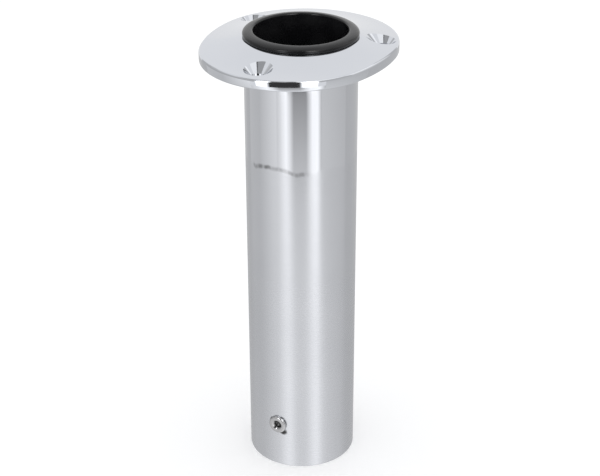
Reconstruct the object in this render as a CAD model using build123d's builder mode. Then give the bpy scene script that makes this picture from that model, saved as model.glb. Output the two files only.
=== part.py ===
"""Flush-mount rod holder, in millimetres.

A straight tube hangs below an egg-shaped flange with three countersunk screw holes. A black liner drops
into the tube, and a cross bolt near the tube's open end stops a rod butt from turning.

Frame: the origin is on the tube's axis, in the plane of the flange's mounting face. +Z points up out of
the socket, and -Y points to the flange's long end, where the first screw hole and the bolt's head are.
"""
import os
from math import cos, hypot, radians, sin, sqrt

from build123d import *

# Tube: two-inch stainless tube, welded into the flange
TUBE_RADIUS = 25.4
TUBE_WALL = 1.2
TUBE_BORE_RADIUS = TUBE_RADIUS - TUBE_WALL
TUBE_REACH = 204.0  # from the mounting face down to the open end
TUBE_END_CHAMFER = 0.3

# Flange: an egg-shaped plate of four tangent arcs, with its two ends' reach taken from the tube's axis
NEAR_REACH = 49.3
NEAR_END_RADIUS = 40.4
FAR_REACH = 45.8
FAR_END_RADIUS = 41.5
SIDE_RADIUS = 71.0
HUB_RADIUS = 26.2
SOCKET_DEPTH = 5.0  # how far the tube stands up inside the flange
MOUTH_RADIUS = 24.6  # clears the liner above the tube's end
RIM_TOP_FILLET = 1.1
RIM_BOTTOM_FILLET = 0.8

# Its top falls from the hub towards the rim in a hollow arc, which would be level at TOP_LOW_RADIUS
TOP_ARC_RADIUS = 96.0
TOP_LOW_RADIUS = 51.0
TOP_LOW_HEIGHT = 4.7

# Weld: fills a bevel around the socket, a little below flush, so that the flange seats flat
WELD_LEG = 2.5
WELD_RECESS = 0.3

# Screw holes: an even circle of three, for countersunk screws
SCREW_CIRCLE_RADIUS = 37.5
SCREW_CIRCLE_SHIFT = 2.7  # the circle's centre lies this far from the tube's axis, towards -Y
SCREW_COUNT = 3
SCREW_HOLE_RADIUS = 3.25
SINK_RADIUS = 6.2  # in the sloping top, at each hole's own centre
SINK_ANGLE = 90
SINK_OVERRUN = 1.5  # the cone is cut from this far above the sloping top

# Liner: a sleeve with a rounded lip that rests on the hub
LINER_GAP = 0.08  # sliding clearance inside the tube
LINER_RADIUS = TUBE_BORE_RADIUS - LINER_GAP
LINER_BORE_RADIUS = 21.0
LINER_REACH = 170.0
LINER_END_CHAMFER = 0.6
LIP_RADIUS = 25.75
LIP_FOOT_RADIUS = 25.3
LIP_WIDEST = 1.15  # height of the lip's widest circle above the hub
LIP_HEIGHT = 2.75
LIP_CREST_RADIUS = 21.9
LIP_MOUTH_DROP = 0.9  # the bore's wall starts this far below the crest

# Cross bolt: a low-head screw along Y, with its washer and lock nut
BOLT_HEIGHT = 23.0  # above the tube's open end
BOLT_Z = BOLT_HEIGHT - TUBE_REACH
BOLT_RADIUS = 2.5
BOLT_LENGTH = 60.0
BOLT_TIP_CHAMFER = 0.5
BOLT_GAP = 0.05  # running clearance around the shank
HEAD_RADIUS = 4.4
HEAD_EDGE = 0.5  # height of the head's straight edge
HEAD_HEIGHT = 1.3
HEAD_FLAT_RADIUS = 3.5
HEAD_BULGE = 0.15  # how far the head's shoulder stands out from a straight bevel
KEY_FLATS = 3.0
KEY_DEPTH = 1.6
KEY_MOUTH_RADIUS = 2.5
KEY_MOUTH_ANGLE = 100
KEY_DRILL_RADIUS = 1.2
WASHER_RADIUS = 5.0
WASHER_BORE_RADIUS = 2.65
WASHER_THICKNESS = 1.0
WASHER_CHAMFER = 0.2
NUT_FLATS = 8.0
NUT_HEX_HEIGHT = 3.6
NUT_HEIGHT = 5.0
NUT_BORE_RADIUS = BOLT_RADIUS + BOLT_GAP
NUT_BEVEL = 0.35  # height of the bevel that takes the hexagon's corners off
NUT_BEVEL_REACH = 0.7  # and how far in it reaches from the corners
COLLAR_RADIUS = 3.6
COLLAR_FILLET = 0.5
COLLAR_MOUTH_RADIUS = 2.8
INSERT_RADIUS = 3.1
INSERT_THICKNESS = 1.1
INSERT_BACK = 0.25  # metal left over the insert by the collar's rolled edge

# Planes and axis of the bolt. The first two face outwards from the tube, one at each side.
HEAD_PLANE = Plane(origin=(0, -TUBE_RADIUS, BOLT_Z), x_dir=(1, 0, 0), z_dir=(0, -1, 0))
WASHER_PLANE = Plane(origin=(0, TUBE_RADIUS, BOLT_Z), x_dir=(-1, 0, 0), z_dir=(0, 1, 0))
NUT_PLANE = WASHER_PLANE.offset(WASHER_THICKNESS)
HEAD_SECTION = Plane(origin=HEAD_PLANE.origin, x_dir=(1, 0, 0), z_dir=(0, 0, -1))
BOLT_AXIS = Axis((0, 0, BOLT_Z), (0, 1, 0))


def top_height(radius):
    """Height of the flange's hollow top at a distance from the tube's axis."""
    return TOP_LOW_HEIGHT + TOP_ARC_RADIUS - sqrt(TOP_ARC_RADIUS**2 - (TOP_LOW_RADIUS - radius) ** 2)


HUB_HEIGHT = top_height(HUB_RADIUS)


# --- Flange -----------------------------------------------------------------------------------------
# Each side arc touches both end arcs, so its centre is a known distance from each end arc's centre.
near_centre = NEAR_END_RADIUS - NEAR_REACH
far_centre = FAR_REACH - FAR_END_RADIUS
near_offset = SIDE_RADIUS - NEAR_END_RADIUS
far_offset = SIDE_RADIUS - FAR_END_RADIUS
middle_y = (near_centre + far_centre) / 2
side_y = middle_y + (near_offset**2 - far_offset**2) / (2 * (far_centre - near_centre))
side_x = -sqrt(near_offset**2 - (side_y - near_centre) ** 2)
side_centre = Vector(side_x, side_y)
near_join = side_centre + (Vector(0, near_centre) - side_centre).normalized() * SIDE_RADIUS
far_join = side_centre + (Vector(0, far_centre) - side_centre).normalized() * SIDE_RADIUS

with BuildPart() as flange:
    with BuildSketch():
        with BuildLine():
            side = ThreePointArc(near_join, (side_x + SIDE_RADIUS, side_y), far_join)
            TangentArc(side @ 1, (0, FAR_REACH), tangent=side % 1)
            TangentArc(side @ 0, (0, -NEAR_REACH), tangent=-(side % 0))
            mirror(about=Plane.YZ)
        make_face()
    extrude(amount=HUB_HEIGHT)
    with BuildSketch(Plane.XZ):
        with BuildLine():
            Polyline(
                (TOP_LOW_RADIUS, TOP_LOW_HEIGHT),
                (TOP_LOW_RADIUS, 0),
                (0, 0),
                (0, HUB_HEIGHT),
                (HUB_RADIUS, HUB_HEIGHT),
            )
            TangentArc((TOP_LOW_RADIUS, TOP_LOW_HEIGHT), (HUB_RADIUS, HUB_HEIGHT), tangent=(-1, 0))
        make_face()
    revolve(axis=Axis.Z, mode=Mode.INTERSECT)
    rim_walls = flange.faces().filter_by(GeomType.CYLINDER)
    fillet(rim_walls.edges().group_by(Axis.Z)[0], RIM_BOTTOM_FILLET)
    rim_walls = flange.faces().filter_by(GeomType.CYLINDER)
    rim_top = rim_walls.edges().filter_by(lambda edge: edge.center().Z > HUB_HEIGHT / 2)
    fillet(rim_top.filter_by(GeomType.LINE, reverse=True), RIM_TOP_FILLET)
    with Locations(Location((0, 0, 0), (180, 0, 0))):
        CounterBoreHole(MOUTH_RADIUS, TUBE_RADIUS, SOCKET_DEPTH)
    socket_edge = flange.edges().group_by(Axis.Z)[0].sort_by_distance((0, 0, 0))[0]
    chamfer(socket_edge, WELD_LEG)
    for step in range(SCREW_COUNT):
        screw_angle = radians(360 / SCREW_COUNT * step - 90)
        screw_x = SCREW_CIRCLE_RADIUS * cos(screw_angle)
        screw_y = SCREW_CIRCLE_RADIUS * sin(screw_angle) - SCREW_CIRCLE_SHIFT
        sink_top = top_height(hypot(screw_x, screw_y)) + SINK_OVERRUN
        with Locations((screw_x, screw_y, sink_top)):
            CounterSinkHole(
                SCREW_HOLE_RADIUS, SINK_RADIUS + SINK_OVERRUN, counter_sink_angle=SINK_ANGLE
            )

# --- Tube -------------------------------------------------------------------------------------------
with BuildPart() as tube:
    with BuildSketch(Plane.XY.offset(-TUBE_REACH)):
        Circle(TUBE_RADIUS)
        Circle(TUBE_BORE_RADIUS, mode=Mode.SUBTRACT)
    extrude(amount=TUBE_REACH + SOCKET_DEPTH)
    chamfer(tube.edges().group_by(Axis.Z)[0], TUBE_END_CHAMFER)
    with Locations(HEAD_PLANE):
        Hole(BOLT_RADIUS + BOLT_GAP)

# --- Weld between them ------------------------------------------------------------------------------
with BuildPart() as flange_weld:
    with BuildSketch(Plane.XZ):
        with BuildLine():
            Polyline(
                (TUBE_RADIUS, WELD_RECESS),
                (TUBE_RADIUS + WELD_LEG - WELD_RECESS, WELD_RECESS),
                (TUBE_RADIUS, WELD_LEG),
                close=True,
            )
        make_face()
    revolve(axis=Axis.Z)

# --- Liner ------------------------------------------------------------------------------------------
lip_widest_z = HUB_HEIGHT + LIP_WIDEST
lip_mouth_z = HUB_HEIGHT + LIP_HEIGHT - LIP_MOUTH_DROP

with BuildPart() as liner:
    with BuildSketch(Plane.XZ):
        with BuildLine():
            Polyline(
                (LINER_BORE_RADIUS, lip_mouth_z),
                (LINER_BORE_RADIUS, -LINER_REACH),
                (LINER_RADIUS, -LINER_REACH),
                (LINER_RADIUS, HUB_HEIGHT),
                (LIP_FOOT_RADIUS, HUB_HEIGHT),
            )
            TangentArc((LIP_RADIUS, lip_widest_z), (LIP_FOOT_RADIUS, HUB_HEIGHT), tangent=(0, -1))
            EllipticalCenterArc(
                (LIP_CREST_RADIUS, lip_widest_z),
                LIP_RADIUS - LIP_CREST_RADIUS,
                LIP_HEIGHT - LIP_WIDEST,
                arc_size=90,
            )
            EllipticalCenterArc(
                (LIP_CREST_RADIUS, lip_mouth_z),
                LIP_CREST_RADIUS - LINER_BORE_RADIUS,
                LIP_MOUTH_DROP,
                start_angle=90,
                arc_size=90,
            )
        make_face()
    revolve(axis=Axis.Z)
    chamfer(liner.edges().group_by(Axis.Z)[0], LINER_END_CHAMFER)

# --- Cross bolt -------------------------------------------------------------------------------------
shoulder_middle = (
    (HEAD_RADIUS + HEAD_FLAT_RADIUS) / 2 + HEAD_BULGE,
    (HEAD_EDGE + HEAD_HEIGHT) / 2 + HEAD_BULGE,
)

with BuildPart() as cross_bolt:
    with BuildSketch(HEAD_PLANE):
        Circle(BOLT_RADIUS)
    extrude(amount=-BOLT_LENGTH)
    chamfer(cross_bolt.faces().sort_by(Axis.Y)[-1].edges(), BOLT_TIP_CHAMFER)
    with BuildSketch(HEAD_SECTION):
        with BuildLine():
            Polyline((0, HEAD_HEIGHT), (0, 0), (HEAD_RADIUS, 0), (HEAD_RADIUS, HEAD_EDGE))
            shoulder = ThreePointArc(
                (HEAD_RADIUS, HEAD_EDGE), shoulder_middle, (HEAD_FLAT_RADIUS, HEAD_HEIGHT)
            )
            Line(shoulder @ 1, (0, HEAD_HEIGHT))
        make_face()
    revolve(axis=BOLT_AXIS)
    with BuildSketch(HEAD_PLANE.offset(HEAD_HEIGHT)):
        RegularPolygon(KEY_FLATS / 2, 6, major_radius=False)
    extrude(amount=-KEY_DEPTH, mode=Mode.SUBTRACT)
    with Locations(HEAD_PLANE.offset(HEAD_HEIGHT)):
        CounterSinkHole(
            KEY_DRILL_RADIUS, KEY_MOUTH_RADIUS, depth=KEY_DEPTH, counter_sink_angle=KEY_MOUTH_ANGLE
        )

# --- Washer and lock nut ----------------------------------------------------------------------------
with BuildPart() as bolt_washer:
    with BuildSketch(WASHER_PLANE):
        Circle(WASHER_RADIUS)
        Circle(WASHER_BORE_RADIUS, mode=Mode.SUBTRACT)
    extrude(amount=WASHER_THICKNESS)
    chamfer(bolt_washer.faces().sort_by(Axis.Y)[-1].outer_wire().edges(), WASHER_CHAMFER)

# The nut starts as a bevelled disc as wide as the hexagon's corners, which the hexagon then trims.
hex_corner = RegularPolygon(NUT_FLATS / 2, 6, major_radius=False, mode=Mode.PRIVATE).radius
insert_top = NUT_HEIGHT - INSERT_BACK
insert_foot = insert_top - INSERT_THICKNESS

with BuildPart() as lock_nut:
    with BuildSketch(NUT_PLANE):
        Circle(hex_corner)
    extrude(amount=NUT_HEX_HEIGHT)
    chamfer(lock_nut.edges().filter_by(GeomType.CIRCLE), NUT_BEVEL, length2=NUT_BEVEL_REACH)
    with BuildSketch(NUT_PLANE):
        RegularPolygon(NUT_FLATS / 2, 6, major_radius=False)
    extrude(amount=NUT_HEX_HEIGHT, mode=Mode.INTERSECT)
    with BuildSketch(NUT_PLANE.offset(NUT_HEX_HEIGHT)):
        Circle(COLLAR_RADIUS)
    extrude(amount=NUT_HEIGHT - NUT_HEX_HEIGHT)
    fillet(lock_nut.faces().sort_by(Axis.Y)[-1].edges(), COLLAR_FILLET)
    with Locations(NUT_PLANE.offset(NUT_HEIGHT)):
        CounterBoreHole(NUT_BORE_RADIUS, COLLAR_MOUTH_RADIUS, INSERT_BACK)
    with BuildSketch(NUT_PLANE.offset(insert_foot)):
        Circle(INSERT_RADIUS)
    extrude(amount=INSERT_THICKNESS, mode=Mode.SUBTRACT)

with BuildPart() as nut_insert:
    with BuildSketch(NUT_PLANE.offset(insert_foot)):
        Circle(INSERT_RADIUS)
        Circle(NUT_BORE_RADIUS, mode=Mode.SUBTRACT)
    extrude(amount=INSERT_THICKNESS)

# --- Labels and files -------------------------------------------------------------------------------
PIECES = {
    "flange": flange,
    "tube": tube,
    "flange_weld": flange_weld,
    "liner": liner,
    "cross_bolt": cross_bolt,
    "bolt_washer": bolt_washer,
    "lock_nut": lock_nut,
    "nut_insert": nut_insert,
}
os.makedirs("parts", exist_ok=True)
for name, piece in PIECES.items():
    piece.part.label = name
    export_step(piece.part, f"parts/{name}.step")
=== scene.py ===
"""Looks of the flush-mount rod holder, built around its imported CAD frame. Lengths are in metres."""

import math

import bmesh
import bpy
from mathutils import Euler, Matrix, Vector


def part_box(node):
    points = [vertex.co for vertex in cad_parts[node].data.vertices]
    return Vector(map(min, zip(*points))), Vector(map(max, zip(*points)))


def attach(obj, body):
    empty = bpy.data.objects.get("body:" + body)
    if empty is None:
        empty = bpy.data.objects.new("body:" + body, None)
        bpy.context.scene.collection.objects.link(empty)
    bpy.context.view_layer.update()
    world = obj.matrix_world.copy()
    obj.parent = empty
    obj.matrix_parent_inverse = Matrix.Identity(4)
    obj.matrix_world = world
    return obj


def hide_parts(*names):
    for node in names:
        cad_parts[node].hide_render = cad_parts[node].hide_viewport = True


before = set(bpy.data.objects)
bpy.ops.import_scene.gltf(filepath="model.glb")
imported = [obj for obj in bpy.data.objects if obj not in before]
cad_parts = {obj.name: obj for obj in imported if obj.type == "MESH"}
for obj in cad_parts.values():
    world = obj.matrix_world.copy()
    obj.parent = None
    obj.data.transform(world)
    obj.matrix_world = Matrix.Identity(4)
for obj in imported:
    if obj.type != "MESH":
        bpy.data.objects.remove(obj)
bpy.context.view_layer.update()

MM = 0.001
TURN = 2 * math.pi
SHARP_ANGLE = 30  # edges sharper than this many degrees are shaded as edges
MERGE_DISTANCE = 0.002 * MM  # points closer than this are one point

# --- Sizes, read from the frame where it holds them ---------------------------------------------------
flange_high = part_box("flange")[1]
tube_low, tube_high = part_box("tube")
weld_low, weld_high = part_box("flange_weld")
liner_low, liner_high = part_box("liner")
bolt_low, bolt_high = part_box("cross_bolt")
washer_low, washer_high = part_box("bolt_washer")

TUBE_RADIUS = 25.4 * MM
TUBE_BORE_RADIUS = 24.2 * MM
TUBE_END_ROUND = 0.3 * MM
FLOOR_HEIGHT = tube_low.z

# The flange's outline is an egg. Its near end is on the bolt head's side, and each reach is measured from the
# tube's axis.
NEAR_REACH = 49.3 * MM
NEAR_END_RADIUS = 40.4 * MM
FAR_REACH = 45.8 * MM
FAR_END_RADIUS = 41.5 * MM
SIDE_RADIUS = 71.0 * MM

# Its top is flat on the hub, and falls from there in a hollow arc whose lowest point is at TOP_LOW_RADIUS.
HUB_RADIUS = 26.2 * MM
HUB_HEIGHT = flange_high.z
TOP_ARC_RADIUS = 96.0 * MM
TOP_LOW_RADIUS = 51.0 * MM
TOP_LOW_HEIGHT = 4.7 * MM
RIM_TOP_ROUND = 1.1 * MM
RIM_BOTTOM_ROUND = 0.8 * MM
MOUTH_RADIUS = 24.6 * MM
WELD_LEG = 2.5 * MM

SCREW_CIRCLE_RADIUS = 37.5 * MM
SCREW_CIRCLE_SHIFT = 2.7 * MM  # from the tube's axis towards the near end
SCREW_ANGLES = [math.radians(-90 + 120 * step) for step in range(3)]
SCREW_HOLE_RADIUS = 3.25 * MM
SINK_RADIUS = 6.2 * MM

LINER_BORE_RADIUS = 21.0 * MM
LINER_RADIUS = 24.12 * MM
LIP_RADIUS = liner_high.x
LIP_FOOT_RADIUS = 25.3 * MM
LIP_WIDEST = 1.15 * MM  # the height above the hub where the lip is widest
LIP_CREST_RADIUS = 21.9 * MM
LIP_MOUTH_DROP = 0.9 * MM
LINER_END_ROUND = 0.6 * MM

BOLT_Z = (bolt_low.z + bolt_high.z) / 2
BOLT_RADIUS = 2.5 * MM
BOLT_HOLE_RADIUS = 2.55 * MM
HEAD_RADIUS = 4.4 * MM
HEAD_EDGE = 0.5 * MM
HEAD_HEIGHT = -TUBE_RADIUS - bolt_low.y
HEAD_FLAT_RADIUS = 3.5 * MM
KEY_FLATS = 3.0 * MM
KEY_DEPTH = 1.6 * MM
KEY_MOUTH_RADIUS = 2.5 * MM
KEY_MOUTH_SLOPE = math.tan(math.radians(40))
KEY_DRILL_RADIUS = 1.2 * MM
THREAD_PITCH = 0.8 * MM
THREAD_DEPTH = 0.43 * MM
THREAD_GROOVE_HALF = 0.42  # half of a groove's width, as a share of the pitch
THREAD_LENGTH = 22.0 * MM
THREAD_RUN_OUT = 1.0 * MM
BOLT_TIP_BEVEL = 0.5 * MM
WASHER_BORE_RADIUS = 2.65 * MM
WASHER_ROUND = 0.15 * MM

# The mirror finish of the tube's upper part stops at this height, in a line that wanders up and down. Part of
# the line is smudged, between two angles that are measured about +Z from the bolt's head.
POLISH_END = -46.5 * MM
POLISH_WANDER_DOWN = 2.2 * MM
POLISH_WANDER_UP = 1.8 * MM
SMUDGE_START = math.radians(-32)
SMUDGE_END = math.radians(38)

# Painted shade under the bolt's head, for its dark gap, is thickest at this angle below level, on its right.
SHADE_LEAN = math.radians(52)
SHADE_REACH = 0.4 * MM
SHADE_EXTRA_REACH = 1.9 * MM


# --- Mesh helpers -------------------------------------------------------------------------------------
def between(first, second, share):
    """The value that lies that share of the way from the first to the second."""
    return first + (second - first) * share


def piece_from(name, vertices, faces, sharp_angle=SHARP_ANGLE):
    """A mesh object with outward normals, smooth except across edges sharper than sharp_angle degrees."""
    mesh = bpy.data.meshes.new(name)
    mesh.from_pydata([tuple(vertex) for vertex in vertices], [], faces)
    shape = bmesh.new()
    shape.from_mesh(mesh)
    bmesh.ops.recalc_face_normals(shape, faces=shape.faces)
    shape.to_mesh(mesh)
    shape.free()
    mesh.shade_smooth()
    mesh.set_sharp_from_angle(angle=math.radians(sharp_angle))
    piece = bpy.data.objects.new(name, mesh)
    bpy.context.scene.collection.objects.link(piece)
    return piece


def ring_mesh(name, rings, closed=True, capped=False, sharp_angle=SHARP_ANGLE):
    """Rings of equally many points, joined by quads.

    Closed rings join last to first, and capped ones have flat ends.
    """
    count = len(rings[0])
    vertices = [point for ring in rings for point in ring]
    faces = []
    last = len(rings) if closed else len(rings) - 1
    for row in range(last):
        here = row * count
        there = (row + 1) % len(rings) * count
        for step in range(count):
            following = (step + 1) % count
            faces.append((here + step, here + following, there + following, there + step))
    if capped:
        for row in (0, len(rings) - 1):
            faces.append(tuple(range(row * count, (row + 1) * count)))
    return piece_from(name, vertices, faces, sharp_angle)


def arc(centre, radii, start, end, steps):
    """Points along an elliptical arc in a profile, from angle start to angle end in degrees."""
    points = []
    for step in range(steps + 1):
        angle = math.radians(between(start, end, step / steps))
        points.append((centre[0] + radii[0] * math.cos(angle), centre[1] + radii[1] * math.sin(angle)))
    return points


def lathe(name, profile, segments, matrix=Matrix(), closed=True, capped=False, sharp_angle=SHARP_ANGLE):
    """Turns a profile of (radius, height) points about its own Z axis, then places it with the matrix."""
    rings = []
    for radius, height in profile:
        ring = []
        for step in range(segments):
            angle = TURN * step / segments
            ring.append(matrix @ Vector((radius * math.cos(angle), radius * math.sin(angle), height)))
        rings.append(ring)
    return ring_mesh(name, rings, closed, capped, sharp_angle)


def cut(piece, cutter):
    """Cuts the cutter's shape out of the piece, deletes the cutter, and merges points too close together."""
    step = piece.modifiers.new("cut", "BOOLEAN")
    step.operation = "DIFFERENCE"
    step.solver = "EXACT"
    step.object = cutter
    bpy.context.view_layer.update()
    evaluated = piece.evaluated_get(bpy.context.evaluated_depsgraph_get())
    result = bpy.data.meshes.new_from_object(evaluated)
    piece.modifiers.clear()
    piece.data = result
    bpy.data.objects.remove(cutter)

    shape = bmesh.new()
    shape.from_mesh(result)
    bmesh.ops.remove_doubles(shape, verts=shape.verts, dist=MERGE_DISTANCE)
    bmesh.ops.dissolve_degenerate(shape, edges=shape.edges, dist=MERGE_DISTANCE)
    shape.to_mesh(result)
    shape.free()
    result.shade_smooth()
    result.set_sharp_from_angle(angle=math.radians(SHARP_ANGLE))


def set_normals(piece, surface_normal):
    """Gives each face corner the true normal of its surface, where surface_normal(face, point) has one."""
    mesh = piece.data
    normals = [corner.vector.copy() for corner in mesh.corner_normals]
    for face in mesh.polygons:
        for index in face.loop_indices:
            point = mesh.vertices[mesh.loops[index].vertex_index].co
            true_normal = surface_normal(face, point)
            if true_normal is not None:
                normals[index] = true_normal
    mesh.normals_split_custom_set(normals)


def along_y(y):
    """Puts a lathe's axis on the bolt's axis, from y on towards +Y."""
    return Matrix.Translation((0, y, BOLT_Z)) @ Matrix.Rotation(math.radians(-90), 4, "X")


# --- Materials ----------------------------------------------------------------------------------------
def new_material(name, **settings):
    """A material, its node tree and its Principled shader, with the shader's own sockets set."""
    material = bpy.data.materials.new(name)
    material.use_nodes = True
    tree = material.node_tree
    shader = tree.nodes["Principled BSDF"]
    for socket, value in settings.items():
        shader.inputs[socket.replace("_", " ")].default_value = value
    return material, tree, shader


def add(tree, kind, inputs, **settings):
    """Adds a shader node. Its inputs are values, or sockets to link from."""
    node = tree.nodes.new("ShaderNode" + kind)
    for setting, value in settings.items():
        setattr(node, setting, value)
    for key, value in inputs.items():
        if isinstance(value, bpy.types.NodeSocket):
            tree.links.new(value, node.inputs[key])
        else:
            node.inputs[key].default_value = value
    return node


def feed(tree, shader, **sockets):
    """Links each socket to the shader's input of that name."""
    for name, socket in sockets.items():
        tree.links.new(socket, shader.inputs[name.replace("_", " ")])


def own_place(tree):
    """The piece's own coordinates, in metres."""
    return add(tree, "TexCoord", {}).outputs["Object"]


def own_axes(tree):
    """The piece's own x, y and z, in metres."""
    return add(tree, "SeparateXYZ", {"Vector": own_place(tree)}).outputs


def math_node(tree, operation, *values):
    """The result of a math node on one to three values or sockets."""
    return add(tree, "Math", dict(enumerate(values)), operation=operation).outputs[0]


def product(tree, first, *others):
    """All the values multiplied together."""
    for other in others:
        first = math_node(tree, "MULTIPLY", first, other)
    return first


def distance_from_bolt(tree, x, z):
    """The distance from the bolt's axis."""
    drop = math_node(tree, "SUBTRACT", z, BOLT_Z)
    squares = math_node(tree, "ADD", product(tree, x, x), product(tree, drop, drop))
    return math_node(tree, "SQRT", squares)


def mapped(tree, value, low, high, to_low, to_high):
    """The value carried from low..high to to_low..to_high, smoothly and held at the ends."""
    inputs = {"Value": value, "From Min": low, "From Max": high, "To Min": to_low, "To Max": to_high}
    return add(tree, "MapRange", inputs, interpolation_type="SMOOTHSTEP").outputs[0]


def noise(tree, scale, detail, stretch=(1, 1, 1)):
    """Noise over the piece's own coordinates, about 1 / scale metres to a feature before the stretch."""
    mapping = add(tree, "Mapping", {"Vector": own_place(tree), "Scale": stretch})
    inputs = {"Vector": mapping.outputs[0], "Scale": scale, "Detail": detail}
    return add(tree, "TexNoise", inputs).outputs[0]


def mixed_colour(tree, share, first, second):
    """The first colour at share 0 and the second at share 1. Each is (red, green, blue) or a socket."""
    inputs = {0: share}
    for slot, colour in ((6, first), (7, second)):  # a Mix node's two colours are its inputs 6 and 7
        inputs[slot] = (*colour, 1) if isinstance(colour, tuple) else colour
    return add(tree, "Mix", inputs, data_type="RGBA").outputs[2]


def bump(tree, shader, height, distance):
    """Feeds a bump to the shader, where a height of 1 is that distance."""
    node = add(tree, "Bump", {"Height": height, "Distance": distance})
    feed(tree, shader, Normal=node.outputs[0])


def polished_steel():
    """Mirror-polished stainless steel, with a buffed haze and a very shallow waviness."""
    material, tree, shader = new_material("polished_steel", Metallic=1.0)
    haze = noise(tree, 60, 3.0)
    wipes = noise(tree, 900, 3.0, (1, 0.12, 1))
    steel = mixed_colour(tree, haze, (0.625, 0.645, 0.685), (0.655, 0.67, 0.705))
    rough = mapped(tree, product(tree, haze, wipes), 0.1, 0.45, 0.035, 0.085)
    feed(tree, shader, Base_Color=steel, Roughness=rough)
    bump(tree, shader, noise(tree, 45, 1.0), 0.04 * MM)
    return material


def height_above_polish_line(tree, z):
    """Height above the uneven line where the mirror finish stops."""
    wander = noise(tree, 60, 3.0, (1, 1, 0.3))
    low = POLISH_END - POLISH_WANDER_DOWN
    high = POLISH_END + POLISH_WANDER_UP
    return math_node(tree, "SUBTRACT", z, mapped(tree, wander, 0.25, 0.75, low, high))


def polishing_dust(tree, x, y, above):
    """The dust that stays in a thin smudged line where the mirror finish stops, thickest near its start."""
    near_line = mapped(tree, math_node(tree, "ABSOLUTE", above), 0.2 * MM, 1.8 * MM, 1.0, 0.0)
    turn = math_node(tree, "ARCTAN2", x, product(tree, y, -1.0))
    start = mapped(tree, turn, SMUDGE_START, SMUDGE_START + 0.12, 0.0, 1.0)
    thinner = mapped(tree, turn, SMUDGE_START + 0.25, SMUDGE_START + 0.55, 1.0, 0.45)
    end = mapped(tree, turn, SMUDGE_END - 0.15, SMUDGE_END, 1.0, 0.0)
    streaks = mapped(tree, noise(tree, 420, 2.0, (1, 1, 0.04)), 0.35, 0.65, 0.35, 1.0)
    return product(tree, near_line, start, thinner, end, streaks)


def painted_shade_under_head(tree, x, y, z):
    """A crescent of painted shade under the bolt's head, for the dark gap there, widest at its lower right.
    """
    drop = math_node(tree, "SUBTRACT", z, BOLT_Z)
    beyond = math_node(tree, "SUBTRACT", distance_from_bolt(tree, x, z), HEAD_RADIUS)
    off_lean = math_node(tree, "ADD", math_node(tree, "ARCTAN2", drop, x), SHADE_LEAN)
    thick = mapped(tree, math_node(tree, "ABSOLUTE", off_lean), 0.08, 0.55, 1.0, 0.0)
    reach = math_node(tree, "MULTIPLY_ADD", thick, SHADE_EXTRA_REACH, SHADE_REACH)
    covered = mapped(tree, math_node(tree, "DIVIDE", beyond, reach), 0.5, 1.1, 1.0, 0.0)
    lower_left = mapped(tree, math_node(tree, "ADD", drop, x), -1.0 * MM, 0.5 * MM, 1.0, 0.0)
    head_side = mapped(tree, y, -1.0 * MM, 1.0 * MM, 1.0, 0.0)
    return product(tree, covered, math_node(tree, "MAXIMUM", lower_left, thick), head_side)


def tube_steel():
    """Stainless tube: mirror-polished above an uneven line, and satin with fine turned grain below it."""
    material, tree, shader = new_material("tube_steel", Metallic=1.0, Anisotropic=0.55)
    x, y, z = own_axes(tree)
    above = height_above_polish_line(tree, z)
    polish = mapped(tree, above, -0.8 * MM, 1.2 * MM, 0.0, 1.0)
    grain = noise(tree, 260, 4.0, (1, 1, 22))
    cloud = noise(tree, 38, 3.0)

    # The satin is dullest in the tube's lower third.
    duller = mapped(tree, z, 3 * POLISH_END, POLISH_END, 0.09, 0.0)
    satin = math_node(tree, "ADD", mapped(tree, grain, 0.3, 0.7, 0.165, 0.215), duller)
    mirror = mapped(tree, cloud, 0.3, 0.7, 0.045, 0.085)
    rough = add(tree, "Mix", {"Factor": polish, "A": satin, "B": mirror}).outputs[0]

    steel = mixed_colour(tree, cloud, (0.61, 0.622, 0.655), (0.66, 0.672, 0.705))
    dusty = mixed_colour(tree, polishing_dust(tree, x, y, above), steel, (0.13, 0.13, 0.13))
    # Painted shade: the tube is darkened to near black beside the bolt head's lower side.
    head_shaded = mixed_colour(tree, painted_shade_under_head(tree, x, y, z), dusty, (0.05, 0.05, 0.05))
    around = add(tree, "Tangent", {}, direction_type="RADIAL", axis="Z").outputs[0]
    feed(tree, shader, Base_Color=head_shaded, Roughness=rough, Tangent=around)
    bump(tree, shader, product(tree, grain, math_node(tree, "SUBTRACT", 1.0, polish)), 0.002 * MM)
    return material


def weld_metal():
    """Brushed-clean weld metal with a trace of heat tint."""
    material, tree, shader = new_material("weld_metal", Metallic=1.0)
    steel = mixed_colour(tree, noise(tree, 130, 3.0), (0.50, 0.46, 0.40), (0.56, 0.56, 0.58))
    rough = mapped(tree, noise(tree, 900, 3.0), 0.3, 0.7, 0.25, 0.42)
    feed(tree, shader, Base_Color=steel, Roughness=rough)
    bump(tree, shader, noise(tree, 1500, 2.0), 0.03 * MM)
    return material


def black_liner():
    """Soft black vinyl: a satin moulded skin with a very fine grain and a few rubbed patches."""
    material, tree, shader = new_material("black_liner", Specular_IOR_Level=0.32)
    cloud = noise(tree, 90, 3.0)
    rubbed = mapped(tree, cloud, 0.35, 0.7, 0.0, 1.0)
    black = mixed_colour(tree, rubbed, (0.007, 0.007, 0.008), (0.013, 0.013, 0.014))
    feed(tree, shader, Base_Color=black, Roughness=mapped(tree, cloud, 0.3, 0.7, 0.17, 0.25))
    bump(tree, shader, noise(tree, 3200, 2.0), 0.01 * MM)
    return material


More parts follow.
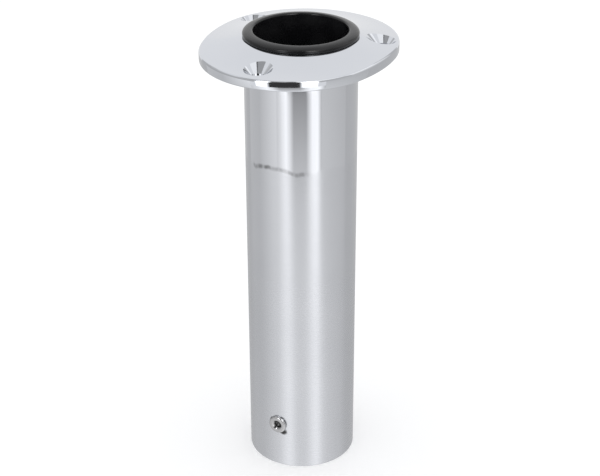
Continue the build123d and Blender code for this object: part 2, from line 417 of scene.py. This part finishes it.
def painted_socket_shade(tree, x, y, z):
    """Painted shade in the bolt head's socket, darker with depth."""
    within = distance_from_bolt(tree, x, z)
    inside = mapped(tree, within, KEY_MOUTH_RADIUS - 0.2 * MM, KEY_MOUTH_RADIUS, 1.0, 0.0)
    deep = mapped(tree, y, bolt_low.y + 0.15 * MM, bolt_low.y + 0.7 * MM, 0.0, 0.85)
    before_shank = mapped(tree, y, -TUBE_RADIUS + 1.0 * MM, -TUBE_RADIUS + 2.0 * MM, 1.0, 0.0)
    return product(tree, inside, deep, before_shank)


def fastener_steel():
    """Bright turned stainless steel, with faint rings from the lathe."""
    material, tree, shader = new_material("fastener_steel", Metallic=1.0)
    x, y, z = own_axes(tree)
    cloud = noise(tree, 350, 3.0)
    steel = mixed_colour(tree, cloud, (0.45, 0.45, 0.46), (0.53, 0.53, 0.54))
    # Painted shade: the socket is darkened, more so deeper in.
    socket_shaded = mixed_colour(tree, painted_socket_shade(tree, x, y, z), steel, (0.07, 0.07, 0.07))
    feed(tree, shader, Base_Color=socket_shaded, Roughness=mapped(tree, cloud, 0.3, 0.7, 0.12, 0.24))

    centred = add(tree, "Mapping", {"Vector": own_place(tree), "Location": (0, 0, -BOLT_Z)}).outputs[0]
    wave = {"Vector": centred, "Scale": 1400.0, "Distortion": 0.6, "Detail": 1.0}
    rings = add(tree, "TexWave", wave, wave_type="RINGS", rings_direction="Y")
    bump(tree, shader, rings.outputs["Fac"], 0.004 * MM)
    return material


def white_nylon():
    """Natural nylon, slightly cloudy."""
    material, tree, shader = new_material("white_nylon", Subsurface_Weight=0.15, Subsurface_Scale=0.001)
    cloud = noise(tree, 700, 2.0)
    white = mixed_colour(tree, cloud, (0.74, 0.74, 0.70), (0.84, 0.84, 0.80))
    feed(tree, shader, Base_Color=white, Roughness=mapped(tree, cloud, 0.3, 0.7, 0.38, 0.50))
    bump(tree, shader, noise(tree, 2500, 2.0), 0.01 * MM)
    return material


# --- Flange -------------------------------------------------------------------------------------------
def top_height(radius):
    """Height of the flange's top at a distance from the axis: flat on the hub, a hollow arc outside it."""
    radius = max(radius, HUB_RADIUS)
    return TOP_LOW_HEIGHT + TOP_ARC_RADIUS - math.sqrt(TOP_ARC_RADIUS**2 - (TOP_LOW_RADIUS - radius) ** 2)


def egg_arcs():
    """The outline's four tangent arcs: centre, radius, start angle and end angle, anticlockwise from +X."""
    near_y = NEAR_END_RADIUS - NEAR_REACH
    far_y = FAR_REACH - FAR_END_RADIUS
    near_offset = SIDE_RADIUS - NEAR_END_RADIUS
    far_offset = SIDE_RADIUS - FAR_END_RADIUS
    side_y = (near_y + far_y) / 2 + (near_offset**2 - far_offset**2) / (2 * (far_y - near_y))
    side_x = math.sqrt(near_offset**2 - (side_y - near_y) ** 2)
    near_join = math.atan2(near_y - side_y, side_x)
    far_join = math.atan2(far_y - side_y, side_x)
    return [
        ((-side_x, side_y), SIDE_RADIUS, near_join, far_join),
        ((0, far_y), FAR_END_RADIUS, far_join, math.pi - far_join),
        ((side_x, side_y), SIDE_RADIUS, math.pi - far_join, math.pi - near_join),
        ((0, near_y), NEAR_END_RADIUS, math.pi - near_join, TURN + near_join),
    ]


def egg(inset):
    """Points around the flange's outline, that far inside it."""
    steps_per_arc = 96
    points = []
    for centre, radius, start, end in egg_arcs():
        for step in range(steps_per_arc):
            angle = start + (end - start) * step / steps_per_arc
            reach = radius - inset
            points.append(Vector((centre[0] + reach * math.cos(angle), centre[1] + reach * math.sin(angle))))
    return points


def top_normal(face, point):
    """The normal of the hub or of the hollow top at a point, for faces that lie in it."""
    face_radius = math.hypot(face.center.x, face.center.y)
    off_top = abs(face.center.z - top_height(face_radius))
    if face.normal.z < 0.9 or off_top > 0.05 * MM:
        return None
    radius = math.hypot(point.x, point.y)
    if face_radius < HUB_RADIUS and radius < HUB_RADIUS + 0.001 * MM:
        return Vector((0, 0, 1))
    run = TOP_LOW_RADIUS - radius
    slope = run / math.sqrt(TOP_ARC_RADIUS**2 - run**2)
    return Vector((slope * point.x / radius, slope * point.y / radius, 1)).normalized()


def flange_rings():
    """The plate's rings, from its mouth over its top and rim to the weld's bevel and the tube's socket."""
    edge = egg(RIM_TOP_ROUND)
    directions = [point.normalized() for point in edge]

    def circle(radius, height):
        """A round ring whose points lie in the same directions as the outline's."""
        return [Vector((*(direction * radius), height)) for direction in directions]

    rings = [circle(MOUTH_RADIUS, HUB_HEIGHT), circle(HUB_RADIUS, HUB_HEIGHT)]
    top_steps = 14
    for step in range(1, top_steps + 1):
        share = step / top_steps
        ring = []
        for point, direction in zip(edge, directions):
            place = (direction * HUB_RADIUS).lerp(point, share)
            ring.append(Vector((*place, top_height(place.length))))
        rings.append(ring)
    round_steps = 6
    edge_heights = [top_height(point.length) for point in edge]
    for step in range(1, round_steps + 1):
        angle = math.pi / 2 * step / round_steps
        outline = egg(RIM_TOP_ROUND * (1 - math.sin(angle)))
        drop = RIM_TOP_ROUND * (1 - math.cos(angle))
        rings.append([Vector((*point, height - drop)) for point, height in zip(outline, edge_heights)])
    for step in range(round_steps + 1):
        angle = math.pi / 2 * step / round_steps
        outline = egg(RIM_BOTTOM_ROUND * (1 - math.cos(angle)))
        height = RIM_BOTTOM_ROUND * (1 - math.sin(angle))
        rings.append([Vector((*point, height)) for point in outline])
    rings.append(circle(TUBE_RADIUS + WELD_LEG, 0))
    rings.append(circle(TUBE_RADIUS, WELD_LEG))
    rings.append(circle(TUBE_RADIUS, tube_high.z))
    rings.append(circle(MOUTH_RADIUS, tube_high.z))
    return rings


def make_flange():
    """The plate and its screw holes, each countersunk at 90 degrees from its own place on the sloping top."""
    piece = ring_mesh("flange_plate", flange_rings())
    below = -20 * MM
    above = 5 * MM
    profile = [
        (SCREW_HOLE_RADIUS, below),
        (SCREW_HOLE_RADIUS, SCREW_HOLE_RADIUS - SINK_RADIUS),
        (SINK_RADIUS + above, above),
    ]
    for angle in SCREW_ANGLES:
        x = SCREW_CIRCLE_RADIUS * math.cos(angle)
        y = SCREW_CIRCLE_RADIUS * math.sin(angle) - SCREW_CIRCLE_SHIFT
        place = Matrix.Translation((x, y, top_height(math.hypot(x, y))))
        cut(piece, lathe("cutter", profile, 128, place, closed=False, capped=True))
    set_normals(piece, top_normal)
    piece.data.materials.append(polished_steel())
    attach(piece, "holder")
    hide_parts("flange")


# --- Tube ---------------------------------------------------------------------------------------------
def wall_normal(face, point):
    """The normal of the tube's round wall at a point, for faces that lie in its outside or its bore."""
    outward = Vector((point.x, point.y, 0)).normalized()
    facing = face.normal.dot(outward)
    if abs(facing) < 0.98 or point.z < tube_low.z + TUBE_END_ROUND * 0.99:
        return None
    return outward if facing > 0 else -outward


def make_tube():
    """The tube: a thin wall with a rounded lower end, drilled for the cross bolt."""
    low = tube_low.z
    high = tube_high.z
    edge = TUBE_END_ROUND
    profile = []
    profile += arc((TUBE_BORE_RADIUS + edge, low + edge), (edge, edge), 180, 270, 4)
    profile += arc((TUBE_RADIUS - edge, low + edge), (edge, edge), 270, 360, 4)
    wall_steps = 24
    for step in range(1, wall_steps):
        profile.append((TUBE_RADIUS, between(low + edge, high, step / wall_steps)))
    profile += [(TUBE_RADIUS, high), (TUBE_BORE_RADIUS, high)]
    for step in range(1, wall_steps):
        profile.append((TUBE_BORE_RADIUS, between(high, low + edge, step / wall_steps)))
    piece = lathe("tube_wall", profile, 288)
    reach = TUBE_RADIUS + 5 * MM
    hole = [(BOLT_HOLE_RADIUS, -reach), (BOLT_HOLE_RADIUS, reach)]
    cut(piece, lathe("cutter", hole, 64, along_y(0), closed=False, capped=True))
    set_normals(piece, wall_normal)
    piece.data.materials.append(tube_steel())
    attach(piece, "holder")
    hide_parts("tube")


def make_weld():
    """The weld bead in its bevel under the flange, with the low ripples that a bead has."""
    ripples = 92
    steps_per_ripple = 6
    segments = ripples * steps_per_ripple
    ripple_bend = 0.6
    depth = 0.12 * MM
    across = 8
    rings = []
    for row in range(across + 1):
        share = row / across
        radius = between(weld_high.x, TUBE_RADIUS, share)
        crown = depth * math.sin(math.pi * share)
        bend = ripple_bend * (1 - 2 * abs(share - 0.5))
        ring = []
        for step in range(segments):
            angle = TURN * step / segments
            lift = crown * (1 + 0.5 * math.sin(TURN * (step / steps_per_ripple + bend)))
            ring.append(Vector((radius * math.cos(angle), radius * math.sin(angle), weld_low.z + lift)))
        rings.append(ring)
    rings.append([Vector((point.x, point.y, weld_high.z)) for point in rings[-1]])
    piece = ring_mesh("weld_bead", rings, sharp_angle=40)
    piece.data.materials.append(weld_metal())
    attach(piece, "holder")
    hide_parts("flange_weld")


# --- Liner --------------------------------------------------------------------------------------------
def make_liner():
    """The sleeve with its rounded lip."""
    widest = HUB_HEIGHT + LIP_WIDEST
    crest = liner_high.z
    mouth = crest - LIP_MOUTH_DROP
    low = liner_low.z
    end = LINER_END_ROUND
    neck_depth = 0.4 * MM
    neck_flare = 0.1 * MM
    foot_gap = 0.01 * MM
    profile = []
    profile += arc((LINER_BORE_RADIUS + end, low + end), (end, end), 180, 270, 6)
    profile += arc((LINER_RADIUS - end, low + end), (end, end), 270, 360, 6)
    profile.append((LINER_RADIUS, HUB_HEIGHT - neck_depth))
    profile.append((LINER_RADIUS + neck_flare, HUB_HEIGHT + foot_gap))
    foot = (LIP_RADIUS - LIP_FOOT_RADIUS, widest - HUB_HEIGHT)
    crown = (LIP_RADIUS - LIP_CREST_RADIUS, crest - widest)
    inner = (LIP_CREST_RADIUS - LINER_BORE_RADIUS, LIP_MOUTH_DROP)
    profile += arc((LIP_FOOT_RADIUS, widest), foot, -90, 0, 10)
    profile += arc((LIP_CREST_RADIUS, widest), crown, 0, 90, 20)[1:]
    profile += arc((LIP_CREST_RADIUS, mouth), inner, 90, 180, 10)[1:]
    piece = lathe("liner_sleeve", profile, 256, sharp_angle=50)
    piece.data.materials.append(black_liner())
    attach(piece, "liner")
    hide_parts("liner")


# --- Cross bolt ---------------------------------------------------------------------------------------
def bolt_profile(length):
    """The head, the neck and the plain shank, as points of radius and distance from under the head."""
    edge = (HEAD_RADIUS - HEAD_FLAT_RADIUS, HEAD_HEIGHT - HEAD_EDGE)
    head = arc((HEAD_FLAT_RADIUS, HEAD_EDGE), edge, 90, 0, 12)
    bevel = 0.08 * MM
    neck = 0.2 * MM
    profile = [(radius, -height) for radius, height in head]
    profile += [(HEAD_RADIUS, -bevel), (HEAD_RADIUS - bevel, 0)]
    profile += arc((BOLT_RADIUS + neck, neck), (neck, neck), 270, 180, 4)
    profile.append((BOLT_RADIUS, length - THREAD_LENGTH))
    return profile


def thread_rings(length, segments):
    """Rings of (radius, angle, distance) points whose grooves wind down to the bolt's tip."""
    rings_per_pitch = 12
    count = round(THREAD_LENGTH / THREAD_PITCH * rings_per_pitch)
    start = length - THREAD_LENGTH
    rings = []
    for row in range(1, count + 1):
        height = start + THREAD_LENGTH * row / count
        fade = min(1, (height - start) / THREAD_RUN_OUT)
        tip_radius = BOLT_RADIUS + min(0, length - height - BOLT_TIP_BEVEL)
        ring = []
        for step in range(segments):
            phase = (height / THREAD_PITCH - step / segments) % 1
            groove = max(0, 1 - abs(phase - 0.5) / THREAD_GROOVE_HALF)
            radius = BOLT_RADIUS - THREAD_DEPTH * groove * fade
            ring.append((min(radius, tip_radius), TURN * step / segments, height))
        rings.append(ring)
    return rings


def cut_key_socket(piece):
    """Cuts the head's hexagon socket, the drill's point below it and the cone at its mouth."""
    face = along_y(-TUBE_RADIUS - HEAD_HEIGHT)
    above = 1 * MM
    corner = KEY_FLATS / 2 / math.cos(math.pi / 6)
    hexagon = [(corner, -above), (corner, KEY_DEPTH)]

    point_slope = math.tan(math.radians(30))
    overrun = 0.1 * MM
    point_end = 0.02 * MM
    point = [
        (KEY_DRILL_RADIUS + overrun / point_slope, KEY_DEPTH - overrun),
        (point_end, KEY_DEPTH + KEY_DRILL_RADIUS * point_slope),
    ]

    mouth_end = KEY_DRILL_RADIUS - 0.1 * MM
    mouth = [
        (KEY_MOUTH_RADIUS + above, -above * KEY_MOUTH_SLOPE),
        (mouth_end, (KEY_MOUTH_RADIUS - mouth_end) * KEY_MOUTH_SLOPE),
    ]
    for profile, segments in ((hexagon, 6), (point, 48), (mouth, 64)):
        cut(piece, lathe("cutter", profile, segments, face, closed=False, capped=True))


def make_bolt(material):
    """The screw: a low head with a hexagon socket, a plain shank, and a rolled thread to its tip."""
    segments = 48
    length = bolt_high.y + TUBE_RADIUS
    rings = []
    for radius, height in bolt_profile(length):
        rings.append([(radius, TURN * step / segments, height) for step in range(segments)])
    rings += thread_rings(length, segments)

    place = along_y(-TUBE_RADIUS)
    placed = []
    for ring in rings:
        points = []
        for radius, angle, height in ring:
            points.append(place @ Vector((radius * math.cos(angle), radius * math.sin(angle), height)))
        placed.append(points)
    piece = ring_mesh("bolt_screw", placed, closed=False, capped=True, sharp_angle=50)
    cut_key_socket(piece)
    piece.data.materials.append(material)
    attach(piece, "bolt")
    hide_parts("cross_bolt")


def make_washer(material):
    """The plain washer, with edges a little rounded by its punch."""
    outer = washer_high.x
    thick = washer_high.y - washer_low.y
    edge = WASHER_ROUND
    bore = WASHER_BORE_RADIUS
    profile = []
    profile += arc((outer - edge, edge), (edge, edge), 270, 360, 4)
    profile += arc((outer - edge, thick - edge), (edge, edge), 0, 90, 4)
    profile += arc((bore + edge, thick - edge), (edge, edge), 90, 180, 4)
    profile += arc((bore + edge, edge), (edge, edge), 180, 270, 4)
    piece = lathe("washer_ring", profile, 96, along_y(washer_low.y))
    piece.data.materials.append(material)
    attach(piece, "nut")
    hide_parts("bolt_washer")


def dress(node, material):
    """A CAD node that is shown as it is takes the finished material."""
    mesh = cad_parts[node].data
    mesh.materials.clear()
    mesh.materials.append(material)


# --- Studio -------------------------------------------------------------------------------------------
CAMERA_AZIMUTH = 27.0  # degrees about +Z from the bolt's side
CAMERA_PITCH = 27.22  # degrees down from level
CAMERA_DISTANCE = 628.4 * MM  # from the tube's axis, measured level
CAMERA_HEIGHT = 231.1 * MM
CAMERA_SLIDE = -0.7 * MM  # to the camera's right
CAMERA_LENS = 90.67  # in mm, on a sensor 36 mm wide
CAMERA_ROLL = -0.0035  # in radians, about the line of sight
GROUND_DROP = 150 * MM  # how far the ground that reflections see lies below the floor


def make_camera():
    """The camera, above and to the right of the bolt's side."""
    azimuth = math.radians(CAMERA_AZIMUTH)
    data = bpy.data.cameras.new("camera")
    data.lens = CAMERA_LENS
    data.sensor_width = 36
    data.clip_start = 0.01
    camera = bpy.data.objects.new("camera", data)
    right = Vector((math.cos(azimuth), math.sin(azimuth), 0))
    back = Vector((math.sin(azimuth), -math.cos(azimuth), 0))
    aim = Euler((math.radians(90 - CAMERA_PITCH), 0, azimuth)).to_matrix().to_4x4()
    place = back * CAMERA_DISTANCE + right * CAMERA_SLIDE + Vector((0, 0, CAMERA_HEIGHT))
    camera.matrix_world = Matrix.Translation(place) @ aim @ Matrix.Rotation(CAMERA_ROLL, 4, "Z")
    bpy.context.scene.collection.objects.link(camera)
    bpy.context.scene.camera = camera


def make_world():
    """An even white room."""
    world = bpy.data.worlds.new("room")
    world.use_nodes = True
    background = world.node_tree.nodes["Background"]
    background.inputs[0].default_value = (0.985, 0.99, 1.0, 1)
    background.inputs[1].default_value = 1.0
    scene = bpy.context.scene
    scene.world = world
    scene.view_settings.view_transform = "Standard"
    scene.view_settings.look = "None"


def make_floor():
    """A wide pale floor, which lets a view from below through."""
    half = 6.0
    corners = [(-half, -half), (half, -half), (half, half), (-half, half)]
    vertices = [(x, y, FLOOR_HEIGHT) for x, y in corners]
    floor = piece_from("floor", vertices, [(0, 1, 2, 3)])
    if floor.data.polygons[0].normal.z < 0:
        floor.data.flip_normals()
    material, tree, shader = new_material(
        "floor",
        Base_Color=(0.88, 0.88, 0.88, 1),
        Roughness=0.9,
        Specular_IOR_Level=0.1,
        Emission_Color=(1, 1, 1, 1),
        Emission_Strength=0.2,
    )
    behind = add(tree, "NewGeometry", {}).outputs["Backfacing"]
    clear = add(tree, "BsdfTransparent", {}).outputs[0]
    mixed = add(tree, "MixShader", {0: behind, 1: shader.outputs[0], 2: clear})
    tree.links.new(mixed.outputs[0], tree.nodes["Material Output"].inputs["Surface"])
    floor.data.materials.append(material)
    floor.visible_glossy = False


def both_sides(glow):
    """A card's glow at its two sides, from one brightness or a pair."""
    return glow if isinstance(glow, tuple) else (glow, glow)


def make_card(name, azimuths, foot, head, foot_glow, head_glow=None):
    """A glowing card around the object, seen only in reflections: a studio's light strip or dark flag.

    It sweeps the line from foot to head, each a (distance, height), between two azimuths, which are measured
    from the camera's, + to its right. A glow is one brightness, or two for a card that fades across.
    """
    foot_glows = both_sides(foot_glow)
    head_glows = foot_glows if head_glow is None else both_sides(head_glow)
    rows = 12
    steps = max(4, round((azimuths[1] - azimuths[0]) / 4))
    vertices = []
    glows = []
    for row in range(rows + 1):
        up = row / rows
        distance = between(foot[0], head[0], up)
        height = between(foot[1], head[1], up)
        row_glows = [between(low, high, up) for low, high in zip(foot_glows, head_glows)]
        for step in range(steps + 1):
            across = step / steps
            angle = math.radians(CAMERA_AZIMUTH + between(*azimuths, across))
            vertices.append((distance * math.sin(angle), -distance * math.cos(angle), height))
            glows.append(between(*row_glows, across))
    faces = []
    for row in range(rows):
        for step in range(steps):
            corner = row * (steps + 1) + step
            faces.append((corner, corner + 1, corner + steps + 2, corner + steps + 1))
    card = piece_from(name, vertices, faces)
    card.data.attributes.new("glow", "FLOAT", "POINT").data.foreach_set("value", glows)
    material, tree = new_material(name)[:2]
    tree.nodes.clear()
    glow = add(tree, "Attribute", {}, attribute_name="glow")
    light = add(tree, "Emission", {"Color": (1, 1, 1, 1), "Strength": glow.outputs["Fac"]})
    add(tree, "OutputMaterial", {"Surface": light.outputs[0]})
    card.data.materials.append(material)
    card.visible_camera = False
    card.visible_diffuse = False
    card.visible_shadow = False


def make_studio():
    """The grey ground, white strips and dark flags whose reflections draw the bands in the steel.

    This ground lies well below the floor, which reflections don't see, so that the bands stay straight.
    """
    # Distances from the tube's axis.
    near = 0.02
    knee = 0.60
    strip = 0.90
    wall = 1.6

    # Heights, and the distance and height of the roof's middle.
    ground = FLOOR_HEIGHT - GROUND_DROP
    lamp_foot = 0.15
    strip_top = 1.0
    wall_top = 1.3
    roof = (0.1, 2.0)

    # Brightnesses.
    lamp_glow = 4.5
    strip_glow = 1.9
    flag_glow = 0.05
    wall_glow = 0.62

    def on_ground(name, azimuths, end, near_glow, far_glow=None):
        """A card on the ground, from beside the tube to the end."""
        make_card(name, azimuths, (near, ground), (end, ground), near_glow, far_glow)

    def beyond_knee(name, azimuths, near_glow, far_glow):
        """A card on the ground, from the knee, where its fade grows steeper, to the strips."""
        make_card(name, azimuths, (knee, ground), (strip, ground), near_glow, far_glow)

    def upright(name, azimuths, distance, high, low_glow, high_glow=None):
        """A standing card, from the ground up to the height."""
        make_card(name, azimuths, (distance, ground), (distance, high), low_glow, high_glow)

    def overhead(name, azimuths, glow):
        """A card that slopes from the wall's top up to the roof's middle."""
        make_card(name, azimuths, (wall, wall_top), roof, glow)

    on_ground("left_glow", (-50, -40), strip, (0.86, 0.98), (0.88, 1.15))
    on_ground("left_band", (-40, -30), strip, (0.98, 1.3), (1.2, 1.5))
    on_ground("left_inner", (-30, -22), strip, (1.3, 1.6), (1.5, 1.0))
    on_ground("left_fade", (-22, -15), knee, (1.6, 0.88), (1.2, 0.90))
    on_ground("middle_band", (-15, 10), knee, 0.88, 0.90)
    on_ground("right_fade", (10, 22), knee, (0.88, 1.15), (0.90, 1.38))
    beyond_knee("left_fade_far", (-22, -15), (1.2, 0.90), (1.0, 0.42))
    beyond_knee("middle_band_far", (-15, 10), 0.90, 0.42)
    beyond_knee("right_fade_far", (10, 22), (0.90, 1.38), (0.42, 1.5))
    on_ground("right_band", (22, 33), strip, (1.15, 1.65), 1.5)
    on_ground("right_glow", (33, 41), strip, (1.65, 0.95), (1.5, 0.62))
    on_ground("right_side", (41, 100), wall, (0.92, 0.76), (0.70, 0.60))
    on_ground("right_back", (100, 150), wall, 0.62)
    on_ground("back_side", (150, 215), wall, 0.64)
    on_ground("back_band", (215, 235), wall, 0.60)
    on_ground("left_back", (235, 270), wall, (0.66, 0.64), (0.75, 0.72))
    on_ground("left_side", (270, 310), wall, (0.66, 0.86), (0.74, 1.15))

    upright("left_strip", (-43, -30), strip, lamp_foot, strip_glow)
    make_card("left_lamp", (-43, -30), (strip, lamp_foot), (strip, strip_top), lamp_glow)
    upright("left_shade", (-30, -26), strip, strip_top, (strip_glow, flag_glow))
    upright("camera_flag", (-26, 9), strip, strip_top, flag_glow)
    upright("right_shade", (9, 13), strip, strip_top, (flag_glow, strip_glow))
    upright("right_strip", (13, 31), strip, lamp_foot, strip_glow)
    make_card("right_lamp", (13, 31), (strip, lamp_foot), (strip, strip_top), lamp_glow)

    upright("right_wall", (33, 75), wall, wall_top, wall_glow)
    upright("right_window", (75, 125), wall, wall_top, wall_glow, 1.4)
    upright("right_gap", (125, 140), wall, wall_top, wall_glow)
    upright("back_wall", (140, 225), wall, 0.5, 1.0)
    upright("left_gap", (225, 240), wall, wall_top, 0.6)
    upright("left_wall", (240, 290), wall, wall_top, 0.5, 0.75)
    upright("left_corner", (290, 317), wall, wall_top, 0.5, 0.7)
    overhead("left_roof", (-80, -9), 0.45)
    overhead("middle_roof", (-9, 9), 0.2)
    overhead("right_roof", (9, 80), 1.2)


make_camera()
make_world()
make_floor()
make_studio()
make_flange()
make_tube()
make_weld()
make_liner()
bright = fastener_steel()
make_bolt(bright)
make_washer(bright)
dress("lock_nut", bright)
dress("nut_insert", white_nylon())
